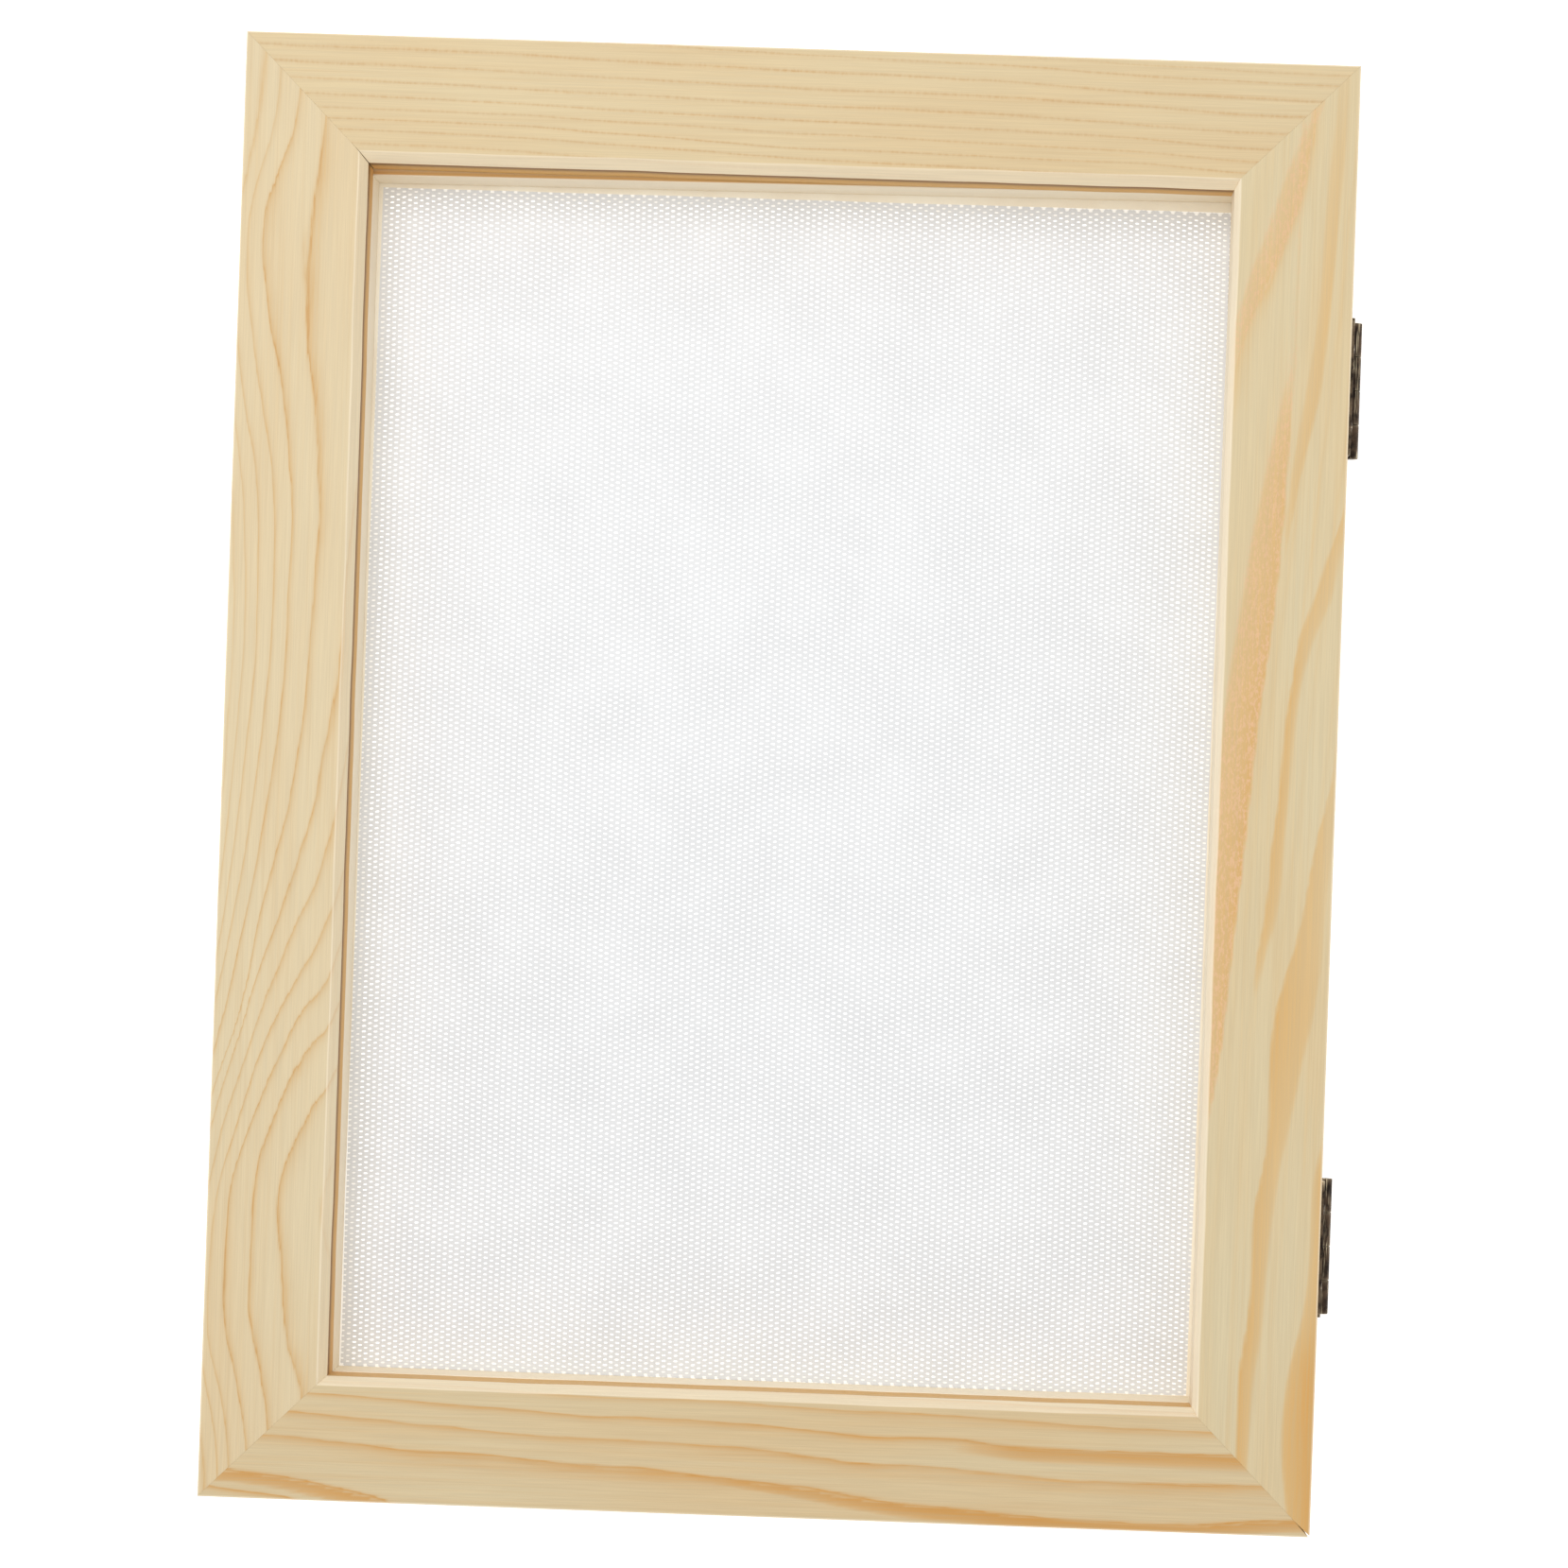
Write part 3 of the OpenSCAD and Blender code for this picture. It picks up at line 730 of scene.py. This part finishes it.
def top_tints(side, section):
    """The same for a top rail: a painted highlight on the chamfer and the lip, and painted shade on the
    sawn side under the lip. The hinge side takes the highlight there instead of shade.
    """
    inward, height, edge_highlight = section.T
    lip = reach_in(side, LIP)
    lip_height = height.max() - CHAMFER_DEPTH
    slope = (inward > FACE_WIDTH) & (height > lip_height)
    on_wall = (inward > lip - WALL_REACH) & (edge_highlight == 0.0)
    painted_shade = on_wall * np.interp(lip_height - height, SHADE_DEPTHS, SHADE_LEVELS)
    pale = np.where(inward > lip - LIP_REACH, LIP_HIGHLIGHT * edge_highlight, edge_highlight)
    pale = np.maximum(pale, (slope | (on_wall & (side == "hinge"))) * CHAMFER_HIGHLIGHT[side])
    return pale, np.minimum(painted_shade, SIDE_SHADE[side])


def screen_tints(side, section):
    """The same for a screen rail: painted shade on the strip of its face inside the top frame's lip, and a
    painted highlight inward of there.
    """
    inward, height, edge_highlight = section.T
    seen = np.clip((inward - reach_in(side, LIP)) / EDGE_FADE + 1, 0, 1)
    on_face = (height > height.max() - 0.01) & (edge_highlight < 0.5)
    return np.maximum(edge_highlight, INNER_EDGE_HIGHLIGHT * seen), seen * min(1.0, SIDE_SHADE[side]) * on_face


def stations(length):
    """Where along a bar its section stands, as fractions, and how far each is shrunk to bevel the ends."""
    bevel = END_BEVEL / length
    count = round(length / STATION_STEP)
    fractions = np.concatenate([[0, bevel], np.arange(1, count) / count, [1 - bevel, 1]])
    insets = np.zeros(len(fractions))
    insets[[0, -1]] = END_BEVEL
    return fractions, insets


def tube_faces(count, per):
    """Faces of a closed tube of sections with this many points each."""
    faces = [
        (i * per + j, (i + 1) * per + j, (i + 1) * per + (j + 1) % per, i * per + (j + 1) % per)
        for i in range(count - 1)
        for j in range(per)
    ]
    faces.append(tuple(range(per)))
    faces.append(tuple(range((count - 1) * per, count * per)))
    return faces


def bar(name, side, rings, corners, look, body, gap=shut, tints=plain_tints, stripes=(), seed=None):
    """One side of a mitred frame, with its growth rings. It stands for the CAD node of the same name.

    rings are rings of plan corners from the outside in. corners is the section, as rounded() takes it.
    look is the drawn growth rings and the wood. gap gives how far the wood stands off the mitre at each
    point. With a seed, the inner edge runs a little unevenly.
    """
    lines, wood = look
    section = divided(rounded(corners), FACE_STEP)
    normals = outward_normals(section)
    # How much painted highlight (pale) and painted shade each point of the section takes
    pale, painted_shade = tints(side, section)
    distances = [reach_in(side, ring) for ring in rings]
    start, end = ENDS[side]
    length = np.linalg.norm(OUTER[end] - OUTER[start])
    run_axis = 0 if side in ("back", "front") else 1
    top = section[:, 1].max()

    def plan(corner, inward):
        return np.column_stack(
            [np.interp(inward, distances, [ring[corner][axis] for ring in rings]) for axis in (0, 1)]
        )

    points, layers = [], []
    fractions, insets = stations(length)
    for fraction, inset in zip(fractions, insets):
        inward = section[:, 0] - inset * normals[:, 0]
        height = section[:, 1] - inset * normals[:, 1]
        if seed:
            inward = inward + wobble(fraction * length, seed) * (section[:, 0] > FACE_WIDTH - UNEVEN_REACH)
        first, last = plan(start, inward), plan(end, inward)
        run = np.linalg.norm(last - first, axis=1)
        low = gap(start, inward) / run
        high = 1 - gap(end, inward) / run
        place = first + (last - first) * (low + (high - low) * fraction)[:, None]
        points.append(np.column_stack([place, height]))
        along = np.abs(place[:, run_axis] - OUTER[start, run_axis])
        depth = top - height
        ring, late = ring_field(lines, along, inward + RING_SLANT * depth)
        stripe, fleck = stripe_field(stripes, along, inward + RING_SLANT * depth)
        grain = np.column_stack([along, inward, depth])
        layers.append((grain, ring, late, stripe, fleck, pale, painted_shade))
    faces = tube_faces(len(fractions), len(section))
    piece = new_mesh(f"{name}_wood", np.concatenate(points), faces, wood, body)
    for key, values in zip(("grain", "ring", "late", "stripe", "fleck", "edge_highlight", "gap_shade"), zip(*layers)):
        set_numbers(piece, key, np.concatenate(values))
    face_outward(piece)
    keep_flat(piece)
    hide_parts(name)


# Two mitres of the top frame stand open: one at its outer end and one at its inner end
OUTER_OPENING = 0.35
OUTER_REACH = 3.5
INNER_OPENING = 0.13
INNER_START = 27
INNER_REACH = 3


def top_gap(corner, inward):
    """How far the top frame's wood stands off its mitre at one corner."""
    width = shut(corner, inward)
    if corner == FRONT_HINGE:
        width += OUTER_OPENING * np.clip(1 - inward / OUTER_REACH, 0, 1)
    if corner == BACK_LEFT:
        width += INNER_OPENING * np.clip((inward - INNER_START) / INNER_REACH, 0, 1)
    return width


# Sections of the three kinds of bar, as corners of (inward, height, radius)


def top_section(side):
    lip = reach_in(side, LIP)
    return [
        (0, TOP_UNDER + NAIL_PROUD, 0.4),
        (0, TOP_FACE, 0.55),
        (FACE_WIDTH, TOP_FACE, 0.7),
        (lip, TOP_FACE - CHAMFER_DEPTH, 0.35),
        (lip, TOP_UNDER + NAIL_PROUD, 0.25),
    ]


def screen_section(side):
    inner = reach_in(side, SCREEN_INNER)
    return [
        (0, NAIL_PROUD, 0.4),
        (0, SCREEN_FACE, 0.4),
        (inner, SCREEN_FACE, 0.45),
        (inner, NET_FACE, 0.0),
        (inner - REBATE_WIDTH, NET_FACE, 0.0),
        (inner - REBATE_WIDTH, NAIL_PROUD, 0.0),
    ]


def batten_section(side):
    first, last = reach_in(side, BATTEN_OUTER), reach_in(side, BATTEN_INNER)
    return [
        (first, NAIL_PROUD, 0.2),
        (first, NET_UNDER, 0.2),
        (last, NET_UNDER, 0.3),
        (last, NAIL_PROUD, 0.3),
    ]


# ---- The net ----

COLUMN_STEP = 1.465
ROW_STEP = 1.39
# Width and height of the holes, as parts of what they would be if the strands had no width
HOLE_WIDE = 0.53
HOLE_HIGH = 0.26
# How unevenly the holes are sized, and how far they lean, in waves and one by one
SIZE_SPREAD = 0.06
LEAN_WAVE = 0.3
LEAN_SPREAD = 0.15
# The net goes on this far past the margin's inner edge, and lies this far below the margin's upper side
NET_OVERLAP = 0.8
STRAND_DROP = 0.03
# The plain margin's inner corners. The glue was laid by hand, so they stand off the battens unevenly.
GLUE_EDGE = BATTEN_INNER + np.array([(-0.7, 0.75), (0.8, 1.1), (-0.2, -0.5), (-1.85, -1.5)])
# How much of the rails' unevenness the margin's edge has, how many steps it has on each side, and how far
# along the unevenness each step goes
GLUE_WOBBLE = 0.5
MARGIN_STEPS = 120
GLUE_STEP = 2.5
# How far the film of glue goes past the battens, and how far it lies below the net's upper side
FILM_LAP = 1.2
FILM_DROP = 0.05


def net_cells():
    """Middles of the net's holes, in a grid of columns and rows, and which of them are kept."""
    low, high = GLUE_EDGE.min(axis=0) - NET_OVERLAP, GLUE_EDGE.max(axis=0) + NET_OVERLAP
    columns = int((high[0] - low[0]) / COLUMN_STEP) + 2
    rows = int((high[1] - low[1]) / ROW_STEP) + 2
    i, j = np.meshgrid(np.arange(columns), np.arange(rows), indexing="ij")
    x = low[0] + i * COLUMN_STEP
    y = low[1] + (j + 0.5 * (i % 2)) * ROW_STEP
    inside = (x > low[0]) & (x < high[0]) & (y > low[1]) & (y < high[1])
    return x, y, inside


def sway(x, y):
    """How far the net's holes lie off their even grid, in slow waves."""
    shift_x = 0.10 * np.sin(y / 31 + 0.6 * np.sin(x / 40)) + 0.05 * np.sin(y / 7.7 + x / 19)
    shift_y = 0.12 * np.sin(x / 27 + 1.3) + 0.08 * np.sin(x / 6.1 + y / 23) + 0.04 * np.sin(x / 2.3)
    return shift_x, shift_y


def net():
    """The knitted net: each hole is a hexagon, with ribbons and small triangles between the holes."""
    x, y, inside = net_cells()
    columns, rows = x.shape
    half_flat = (COLUMN_STEP**2 - ROW_STEP**2 / 4) / (2 * COLUMN_STEP)
    point = COLUMN_STEP - half_flat
    half_row = ROW_STEP / 2
    hexagon = [
        (point, 0), (half_flat, half_row), (-half_flat, half_row),
        (-point, 0), (-half_flat, -half_row), (half_flat, -half_row),
    ]
    random = np.random.default_rng(7)
    size = 1 + SIZE_SPREAD * random.standard_normal(x.shape)
    lean = LEAN_WAVE * np.sin(x / 13 + 0.8 * np.sin(y / 17))
    lean += LEAN_SPREAD * random.standard_normal(x.shape)
    height = np.full_like(x, NET_FACE - STRAND_DROP)
    corners = []
    for dx, dy in hexagon:
        px = x + dx * HOLE_WIDE * size
        py = y + (dy - lean * dx * HOLE_WIDE) * HOLE_HIGH * size
        shift_x, shift_y = sway(px, py)
        corners.append(np.stack([px + shift_x, py + shift_y, height], axis=-1))
    points = np.stack(corners, axis=2).reshape(-1, 3)

    faces = []

    def face(*ends):
        """A face whose corners are each given as a hole and the number of one of its six points."""
        faces.append(tuple((i * rows + j) * 6 + k for (i, j), k in ends))

    for i in range(1, columns - 1):
        # Columns stand half a row up in turn, so a hole's neighbours to the east are at these rows
        up = i % 2
        for j in range(1, rows - 1):
            if not inside[i, j]:
                continue
            north_east, south_east = (i + 1, j + up), (i + 1, j + up - 1)
            north = (i, j + 1)
            here = (i, j)
            if inside[north]:
                face((here, 2), (here, 1), (north, 5), (north, 4))
            if inside[north_east]:
                face((here, 1), (here, 0), (north_east, 4), (north_east, 3))
            if inside[south_east]:
                face((here, 0), (here, 5), (south_east, 3), (south_east, 2))
            if inside[north] and inside[north_east]:
                face((here, 1), (north_east, 3), (north, 5))
            if inside[north_east] and inside[south_east]:
                face((here, 0), (south_east, 2), (north_east, 4))
    margin_points, margin_faces = net_margin(len(points))
    on_film = margin_points[:, 2] < NET_FACE - FILM_DROP / 2
    margin = np.concatenate([np.zeros(len(points)), 1.0 + on_film])
    piece = new_mesh(
        "hexagonal_net", np.concatenate([points, margin_points]), faces + margin_faces,
        net_plastic(), "screen_frame",
    )
    set_numbers(piece, "margin", margin)
    face_up(piece)
    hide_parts("screen_mesh")


def net_margin(first):
    """The glued margin round the net: a flat band with an uneven inner edge, and a film below the net.

    The film fills the net's holes from the band's edge to a little past the inner edge of the battens.
    first is the number of the margin's first point in the whole mesh.
    """
    points, faces = [], []
    film = NET_FACE - FILM_DROP
    for side in range(4):
        for k in range(MARGIN_STEPS + 1):
            t = k / MARGIN_STEPS
            outer, glue, last = [
                ring[side] * (1 - t) + ring[(side + 1) % 4] * t
                for ring in (NET_EDGE, GLUE_EDGE, BATTEN_INNER)
            ]
            away = (last - outer) / np.linalg.norm(last - outer)
            ease = math.sin(math.pi * t) ** 0.3 if 0 < t < 1 else 0.0
            glue = glue + away * ease * GLUE_WOBBLE * wobble(k * GLUE_STEP, side)
            last = last + away * FILM_LAP
            points += [(*outer, NET_FACE), (*glue, NET_FACE), (*glue, film), (*last, film)]
            if k:
                base = first + len(points) - 8
                faces += [(base + j, base + j + 4, base + j + 5, base + j + 1) for j in range(3)]
    return np.array(points), faces


# ---- Hinges ----

LEAF_THICKNESS = 0.8
LEAF_BEVEL = 0.14
KNUCKLES = 4
KNUCKLE_GAP = 0.12
# The plate ends this far from the pin's axis, just clear of the other leaf's knuckles
KNUCKLE_CLEAR = 1.702
# The roll of a knuckle, as the middle of its sheet, with the angles in degrees at which it starts and ends
CURL_RADIUS = 1.3
CURL_START = 180
CURL_END = 485
# Points down the plate, steps round the roll, points along a knuckle
PLATE_POINTS = 8
CURL_STEPS = 22
KNUCKLE_POINTS = 7
# Rounding of the CAD nodes' edges
PIN_EDGE = 0.2
SCREW_EDGE = 0.06


def leaf(name, body, first, up, material):
    """One hinge leaf, bent from sheet: a plate on the side face, whose knuckles roll round the pin.

    first is 0 or 1, the number of the leaf's first knuckle counted from the front. up is 1 where the plate
    stands above the pin, and -1 where it hangs below.
    """
    low, high = box_mm(name)
    pin_low, pin_high = box_mm(name[: name.index("hinge")] + "hinge_pin")
    axis_x, axis_z = (pin_low[[0, 2]] + pin_high[[0, 2]]) / 2
    length = high[1] - low[1]
    knuckle = (length - (KNUCKLES - 1) * KNUCKLE_GAP) / KNUCKLES
    plate_x = EAST + LEAF_THICKNESS / 2 - axis_x
    plate_end = high[2] - axis_z if up > 0 else axis_z - low[2]
    path = [(plate_x, h) for h in np.linspace(plate_end, KNUCKLE_CLEAR, PLATE_POINTS)]
    plate_rows = len(path) - 1
    for k in range(CURL_STEPS + 1):
        angle = math.radians(CURL_START + (CURL_END - CURL_START) * k / CURL_STEPS)
        path.append((CURL_RADIUS * math.cos(angle), CURL_RADIUS * math.sin(angle)))
    stops = []
    for k in range(KNUCKLES):
        near = k * (knuckle + KNUCKLE_GAP)
        stops += list(np.linspace(near, near + knuckle, KNUCKLE_POINTS))
    columns = np.array(stops) + low[1]
    points = [(axis_x + x, y, axis_z + up * z) for x, z in path for y in columns]
    per = len(columns)
    faces = []
    for row in range(len(path) - 1):
        for column in range(per - 1):
            # The last column of each knuckle is the gap before the next one
            owner, inside = divmod(column, KNUCKLE_POINTS)
            if row >= plate_rows and (inside == KNUCKLE_POINTS - 1 or owner % 2 != first):
                continue
            corner = row * per + column
            faces.append((corner, corner + 1, corner + per + 1, corner + per))
    piece = new_mesh(f"{name}_plate", points, faces, material, body)
    set_numbers(piece, "barrel", np.repeat(np.arange(len(path)) > plate_rows, per))
    face_outward(piece)
    thick = piece.modifiers.new("thickness", "SOLIDIFY")
    thick.thickness = LEAF_THICKNESS * MM
    thick.offset = 0.0
    bevel(piece, "rubbed_edges", LEAF_BEVEL, 50)
    keep_flat(piece)
    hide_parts(name)


def finish_cad_node(name, material, edge_mm=0.0):
    """Gives a CAD node its material, and softens its edges if edge_mm is above 0."""
    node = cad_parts[name]
    node.data.materials.clear()
    node.data.materials.append(material)
    if edge_mm:
        node.modifiers.new("joined", "WELD").merge_threshold = 1e-6
        bevel(node, "soft_edges", edge_mm, 35)


# ---- Stage, light and camera, in metres ----

FLOOR_SIZE = 60.0
WORLD_STRENGTH = 0.78
KEY_ENERGY = 4.1
KEY_PLACE = (-0.2, 0.34, 1.0)
KEY_SIZE = 0.6

CAMERA_PLACE = (0.03753, -0.02365, 1.0263)
CAMERA_AIM = (0.02157, -0.02788, 0.0263)
CAMERA_LENS = 94.17
CAMERA_ROLL = 1.9865
CAMERA_SHIFT = (-0.0543, 0.0744)


def floor():
    mesh = bpy.data.meshes.new("floor")
    half = FLOOR_SIZE / 2
    corners = [(-half, -half, 0), (half, -half, 0), (half, half, 0), (-half, half, 0)]
    mesh.from_pydata(corners, [], [(0, 1, 2, 3)])
    mesh.materials.append(paper_white())
    piece = bpy.data.objects.new("floor", mesh)
    bpy.context.scene.collection.objects.link(piece)


def aimed(place, aim, roll=0.0):
    """Placement of a light or camera that looks from place at aim, top toward +Y, rolled by degrees."""
    back = (Vector(place) - Vector(aim)).normalized()
    right = Vector((0, 1, 0)).cross(back).normalized()
    turn = Matrix((right, back.cross(right), back)).transposed().to_4x4()
    return Matrix.Translation(place) @ turn @ Matrix.Rotation(math.radians(roll), 4, "Z")


def lights():
    scene = bpy.context.scene
    scene.world = bpy.data.worlds.new("studio")
    scene.world.use_nodes = True
    background = scene.world.node_tree.nodes["Background"]
    background.inputs["Color"].default_value = (1.0, 1.0, 1.0, 1.0)
    background.inputs["Strength"].default_value = WORLD_STRENGTH
    lamp = bpy.data.lights.new("soft_key", "AREA")
    lamp.size = KEY_SIZE
    lamp.energy = KEY_ENERGY
    light = bpy.data.objects.new("soft_key", lamp)
    light.matrix_world = aimed(KEY_PLACE, (0, 0, 0))
    scene.collection.objects.link(light)
    scene.view_settings.view_transform = "Standard"


def camera():
    lens = bpy.data.cameras.new("camera")
    lens.lens = CAMERA_LENS
    lens.sensor_width = 36.0
    lens.shift_x, lens.shift_y = CAMERA_SHIFT
    lens.clip_start = 0.01
    viewer = bpy.data.objects.new("camera", lens)
    viewer.matrix_world = aimed(CAMERA_PLACE, CAMERA_AIM, CAMERA_ROLL)
    bpy.context.scene.collection.objects.link(viewer)
    bpy.context.scene.camera = viewer


# ---- Build ----

camera()
lights()
floor()

# Each rail has its own tones. Part of the difference is painted light and shade: the left rail is the
# palest, and the front rail the darkest and most orange. The battens' pine is paler than the rails', so
# that it stays cream in the net's shade.
LEFT_PINE = pine("pine_left", rgb(219, 200, 163), rgb(206, 168, 112), rgb(194, 144, 86), 8, 30, seed=1)
HINGE_PINE = pine("pine_hinge", rgb(214, 197, 159), rgb(213, 169, 102), rgb(206, 150, 78), 8, 8, seed=2)
BACK_PINE = pine(
    "pine_back", rgb(217, 196, 155), rgb(196, 157, 106), rgb(184, 137, 86), 12, 12, seed=3, beads=0.5
)
FRONT_PINE = pine("pine_front", rgb(211, 190, 150), rgb(203, 154, 88), rgb(198, 143, 72), 30, 6, seed=4)
INNER_PINE = pine("pine_inner", rgb(252, 238, 208), rgb(240, 214, 172), rgb(230, 190, 140), 8, 8, seed=5)
LOWER_PINE = pine("pine_lower", rgb(222, 203, 167), rgb(212, 176, 122), rgb(200, 150, 92), 10, 10, seed=6)
STRIPES = {"hinge": HINGE_STRIPES, "front": FRONT_STRIPES}
TOP_LOOK = {
    "back": (BACK_LINES, BACK_PINE),
    "front": (FRONT_LINES, FRONT_PINE),
    "left": (LEFT_LINES, LEFT_PINE),
    "hinge": (HINGE_LINES, HINGE_PINE),
}
SCREEN_LINES = {"back": FRONT_LINES, "front": BACK_LINES, "left": HINGE_LINES, "hinge": LEFT_LINES}

for number, side in enumerate(ENDS):
    bar(
        f"top_frame_{side}_rail", side, [OUTER, FACE_EDGE, LIP], top_section(side), TOP_LOOK[side],
        "top_frame", top_gap, top_tints, STRIPES.get(side, ()), seed=number + 1,
    )
    bar(
        f"screen_frame_{side}_rail", side, [OUTER, SCREEN_INNER], screen_section(side),
        (SCREEN_LINES[side], LOWER_PINE), "screen_frame", tints=screen_tints,
    )
    bar(
        f"batten_{side}", side, [OUTER, BATTEN_OUTER, BATTEN_INNER], batten_section(side),
        (BACK_LINES, INNER_PINE), "screen_frame",
    )
net()

BRONZE = bronze()
STEEL = steel()
for place in ("back", "front"):
    leaf(f"{place}_hinge_upper_leaf", "top_frame", 1, 1, BRONZE)
    leaf(f"{place}_hinge_lower_leaf", "screen_frame", 0, -1, BRONZE)
    finish_cad_node(f"{place}_hinge_pin", BRONZE, PIN_EDGE)
    finish_cad_node(f"{place}_hinge_upper_screws", BRONZE, SCREW_EDGE)
    finish_cad_node(f"{place}_hinge_lower_screws", BRONZE, SCREW_EDGE)
for name in ("top_frame_v_nails", "screen_frame_v_nails", "batten_brads"):
    finish_cad_node(name, STEEL)
